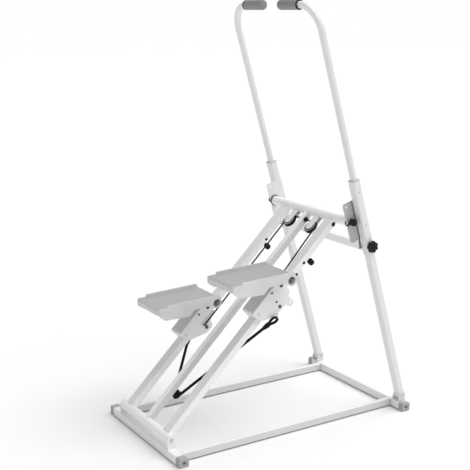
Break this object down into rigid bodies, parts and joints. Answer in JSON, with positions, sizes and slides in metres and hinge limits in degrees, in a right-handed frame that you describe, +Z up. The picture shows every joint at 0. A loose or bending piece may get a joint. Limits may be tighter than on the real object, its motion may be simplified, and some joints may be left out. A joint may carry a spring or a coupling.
{
  "type": "vertical climber",
  "caption": "Folding steel climber: two pedals on inclined rails, tied by cable and rope to rise in turn, with height-adjustable grips on leaning posts.",
  "frame": {"origin": "on the floor, in the middle of the footprint", "axes": "+Z up, +Y from the front bar to the rear bar, +X to the right seen from the front bar"},
  "size_m": [0.579, 0.9387, 1.455],
  "materials": {
    "white_paint": "white powder coat",
    "pedal_paint": "satin grey powder coat",
    "grey_plastic": "moulded, matt",
    "grey_foam": "foam, matt",
    "black_plastic": "moulded, satin",
    "black_rubber": "matt",
    "black_cord": "braided",
    "plated_steel": "zinc plated"
  },
  "bodies": {
    "base": {"base_front_bar": "white_paint", "base_rear_bar": "white_paint", "side_bar_left": "white_paint", "side_bar_right": "white_paint", "foot_cap_front_left": "grey_plastic", "foot_cap_front_right": "grey_plastic", "foot_cap_rear_left": "grey_plastic", "foot_cap_rear_right": "grey_plastic", "front_pivot_rod": "plated_steel", "rear_bracket_left": "white_paint", "rear_bracket_right": "white_paint", "rear_pivot_bolt_left": "plated_steel", "rear_pivot_bolt_right": "plated_steel"},
    "rails": {"lower_cross_tube": "white_paint", "rail_left": "white_paint", "rail_middle": "white_paint", "rail_right": "white_paint", "upper_cross_tube": "white_paint", "tube_cap_left": "grey_plastic", "tube_cap_right": "grey_plastic", "pulley_plate_left": "white_paint", "pulley_plate_right": "white_paint", "cable_top": "black_cord", "cable_run_left": "black_cord", "cable_run_right": "black_cord", "rope_bracket": "black_plastic", "rope_run_left": "black_cord", "rope_run_right": "black_cord", "bumper_left": "black_rubber", "bumper_right": "black_rubber"},
    "posts": {"post_left": "white_paint", "post_right": "white_paint", "sleeve_left": "white_paint", "sleeve_right": "white_paint", "post_crossbar": "white_paint", "post_collar_left": "grey_plastic", "post_collar_right": "grey_plastic"},
    "rope_wheel": {"rope_roller": "black_plastic"},
    "carriage_left": {"carriage_bracket_left": "white_paint", "pedal_tube_left": "white_paint"},
    "carriage_right": {"carriage_bracket_right": "white_paint", "pedal_tube_right": "white_paint"},
    "pedal_left": {"pedal_left": "pedal_paint"},
    "front_roller_lower_left": {"front_roller_lower_left": "black_plastic"},
    "front_roller_upper_left": {"front_roller_upper_left": "black_plastic"},
    "rear_roller_left": {"rear_roller_left": "black_plastic"},
    "cable_pulley_left": {"cable_pulley_left": "black_plastic"},
    "handle_left": {"handle_left": "white_paint", "grip_left": "grey_foam"},
    "star_knob_left": {"star_knob_left": "black_plastic"},
    "lock_knob_left": {"lock_knob_left": "black_plastic"},
    "pedal_right": {"pedal_right": "pedal_paint"},
    "front_roller_lower_right": {"front_roller_lower_right": "black_plastic"},
    "front_roller_upper_right": {"front_roller_upper_right": "black_plastic"},
    "rear_roller_right": {"rear_roller_right": "black_plastic"},
    "cable_pulley_right": {"cable_pulley_right": "black_plastic"},
    "handle_right": {"handle_right": "white_paint", "grip_right": "grey_foam"},
    "star_knob_right": {"star_knob_right": "black_plastic"},
    "lock_knob_right": {"lock_knob_right": "black_plastic"}
  },
  "joints": [
    {"name": "rails_fold", "type": "hinge", "parent": "base", "child": "rails", "pos_m": [0, -0.4515, 0.0625], "axis": [-1, 0, 0], "range_deg": [0, 42]},
    {"name": "posts_fold", "type": "hinge", "parent": "base", "child": "posts", "pos_m": [0, 0.4539, 0.0538], "axis": [-1, 0, 0], "range_deg": [0, 105]},
    {"name": "carriage_left_slide", "type": "slide", "parent": "rails", "child": "carriage_left", "axis": [0, 0.7135, 0.7006], "range_m": [-0.1, 0.28], "deforming": ["cable_run_left", "rope_run_left"]},
    {"name": "carriage_right_slide", "type": "slide", "parent": "rails", "child": "carriage_right", "axis": [0, 0.7135, 0.7006], "range_m": [-0.28, 0.1], "deforming": ["cable_run_right", "rope_run_right"]},
    {"name": "pedal_left_fold", "type": "hinge", "parent": "carriage_left", "child": "pedal_left", "pos_m": [-0.1354, -0.14243, 0.41642], "axis": [-1, 0, 0], "range_deg": [0, 110]},
    {"name": "front_roller_lower_left_spin", "type": "hinge", "parent": "carriage_left", "child": "front_roller_lower_left", "pos_m": [-0.1354, -0.23996, 0.30237], "axis": [1, 0, 0], "continuous": true},
    {"name": "front_roller_upper_left_spin", "type": "hinge", "parent": "carriage_left", "child": "front_roller_upper_left", "pos_m": [-0.1354, -0.15112, 0.3896], "axis": [1, 0, 0], "continuous": true},
    {"name": "rear_roller_left_spin", "type": "hinge", "parent": "carriage_left", "child": "rear_roller_left", "pos_m": [-0.1354, -0.15572, 0.31649], "axis": [1, 0, 0], "continuous": true},
    {"name": "cable_pulley_left_spin", "type": "hinge", "parent": "rails", "child": "cable_pulley_left", "pos_m": [-0.064, 0.17371, 0.67638], "axis": [0, -0.7006, 0.7135], "continuous": true},
    {"name": "handle_left_height", "type": "slide", "parent": "posts", "child": "handle_left", "axis": [0, -0.2838, 0.9589], "range_m": [-0.5, 0]},
    {"name": "star_knob_left_turn", "type": "hinge", "parent": "posts", "child": "star_knob_left", "pos_m": [-0.2472, 0.28246, 0.63296], "axis": [1, 0, 0], "continuous": true},
    {"name": "lock_knob_left_turn", "type": "hinge", "parent": "rails", "child": "lock_knob_left", "pos_m": [-0.2235, 0.21795, 0.71982], "axis": [1, 0, 0], "continuous": true},
    {"name": "pedal_right_fold", "type": "hinge", "parent": "carriage_right", "child": "pedal_right", "pos_m": [0.1354, -0.01328, 0.54324], "axis": [-1, 0, 0], "range_deg": [0, 110]},
    {"name": "front_roller_lower_right_spin", "type": "hinge", "parent": "carriage_right", "child": "front_roller_lower_right", "pos_m": [0.1354, -0.11081, 0.42918], "axis": [1, 0, 0], "continuous": true},
    {"name": "front_roller_upper_right_spin", "type": "hinge", "parent": "carriage_right", "child": "front_roller_upper_right", "pos_m": [0.1354, -0.02197, 0.51641], "axis": [1, 0, 0], "continuous": true},
    {"name": "rear_roller_right_spin", "type": "hinge", "parent": "carriage_right", "child": "rear_roller_right", "pos_m": [0.1354, -0.02657, 0.4433], "axis": [1, 0, 0], "continuous": true},
    {"name": "cable_pulley_right_spin", "type": "hinge", "parent": "rails", "child": "cable_pulley_right", "pos_m": [0.064, 0.17371, 0.67638], "axis": [0, -0.7006, 0.7135], "continuous": true},
    {"name": "handle_right_height", "type": "slide", "parent": "posts", "child": "handle_right", "axis": [0, -0.2838, 0.9589], "range_m": [-0.5, 0]},
    {"name": "star_knob_right_turn", "type": "hinge", "parent": "posts", "child": "star_knob_right", "pos_m": [0.2472, 0.28246, 0.63296], "axis": [1, 0, 0], "continuous": true},
    {"name": "lock_knob_right_turn", "type": "hinge", "parent": "rails", "child": "lock_knob_right", "pos_m": [0.2235, 0.21795, 0.71982], "axis": [1, 0, 0], "continuous": true},
    {"name": "rope_wheel_spin", "type": "hinge", "parent": "rails", "child": "rope_wheel", "pos_m": [0, -0.33557, 0.13569], "axis": [0, -0.7006, 0.7135], "continuous": true}
  ],
  "couplings": [
    {"joint": "posts_fold", "follows": "rails_fold", "ratio": 2.5},
    {"joint": "carriage_right_slide", "follows": "carriage_left_slide", "ratio": -1},
    {"joint": "front_roller_lower_left_spin", "follows": "carriage_left_slide", "rad_per_m": -94.34},
    {"joint": "front_roller_upper_left_spin", "follows": "carriage_left_slide", "rad_per_m": -94.34},
    {"joint": "rear_roller_left_spin", "follows": "carriage_left_slide", "rad_per_m": 73.26},
    {"joint": "cable_pulley_left_spin", "follows": "carriage_left_slide", "rad_per_m": -45.455},
    {"joint": "front_roller_lower_right_spin", "follows": "carriage_left_slide", "rad_per_m": 94.34},
    {"joint": "front_roller_upper_right_spin", "follows": "carriage_left_slide", "rad_per_m": 94.34},
    {"joint": "rear_roller_right_spin", "follows": "carriage_left_slide", "rad_per_m": -73.26},
    {"joint": "cable_pulley_right_spin", "follows": "carriage_left_slide", "rad_per_m": -45.455},
    {"joint": "rope_wheel_spin", "follows": "carriage_left_slide", "rad_per_m": -75.188}
  ]
}
